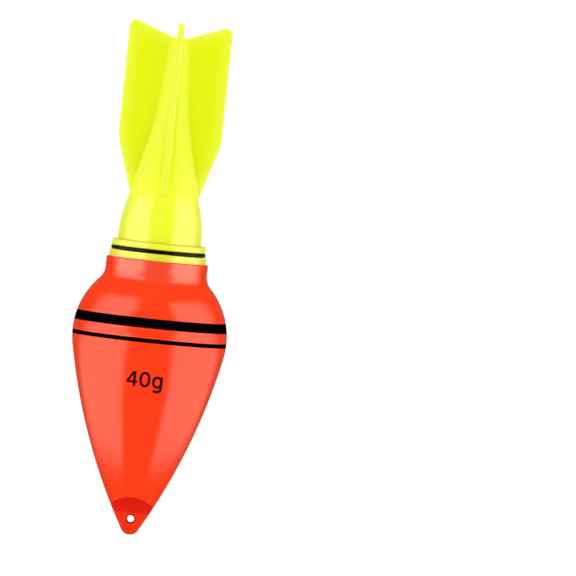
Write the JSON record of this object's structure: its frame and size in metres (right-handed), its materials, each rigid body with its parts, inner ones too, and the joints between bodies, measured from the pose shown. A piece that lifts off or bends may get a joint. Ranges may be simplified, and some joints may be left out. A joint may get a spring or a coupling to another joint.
{
  "type": "bobber float",
  "caption": "Bulb-bodied fishing float with a flat line eye at its nose and a finned tail that unscrews to take a light stick.",
  "frame": {"origin": "centre of the line eye, halfway through the flat lug", "axes": "+Z along the float's axis from the nose to the tail, +Y along the line eye"},
  "size_m": [0.045, 0.045, 0.1494],
  "materials": {
    "red_shell": "gloss",
    "yellow_tail": "gloss",
    "yellow_collar": "gloss",
    "seal_rubber": "satin",
    "ballast_steel": "satin",
    "retainer_steel": "satin",
    "white_plastic": "satin",
    "stick_plastic": "gloss",
    "ampoule_glass": "polished",
    "black_ink": "gloss"
  },
  "bodies": {
    "float_body": {"lower_shell": "red_shell", "upper_shell": "red_shell", "neck_collar": "yellow_collar", "ballast_weight": "ballast_steel", "ballast_retainer": "retainer_steel"},
    "seal_ring": {"seal_ring": "seal_rubber"},
    "tail": {"tail": "yellow_tail", "stick_holder": "white_plastic"},
    "light_stick": {"stick_tube": "stick_plastic", "stick_plug": "white_plastic", "stick_ampoule": "ampoule_glass"}
  },
  "joints": [
    {"name": "tail_rise", "type": "slide", "parent": "float_body", "child": "seal_ring", "axis": [0, 0, 1], "range_m": [0, 0.0091]},
    {"name": "tail_turn", "type": "hinge", "parent": "seal_ring", "child": "tail", "pos_m": [0, 0, 0.08], "axis": [0, 0, 1], "range_deg": [0, 1080]},
    {"name": "stick_slide", "type": "slide", "parent": "tail", "child": "light_stick", "axis": [0, 0, -1], "range_m": [0, 0.035]}
  ],
  "couplings": [
    {"joint": "tail_rise", "follows": "tail_turn", "m_per_rad": 0.00047746}
  ]
}
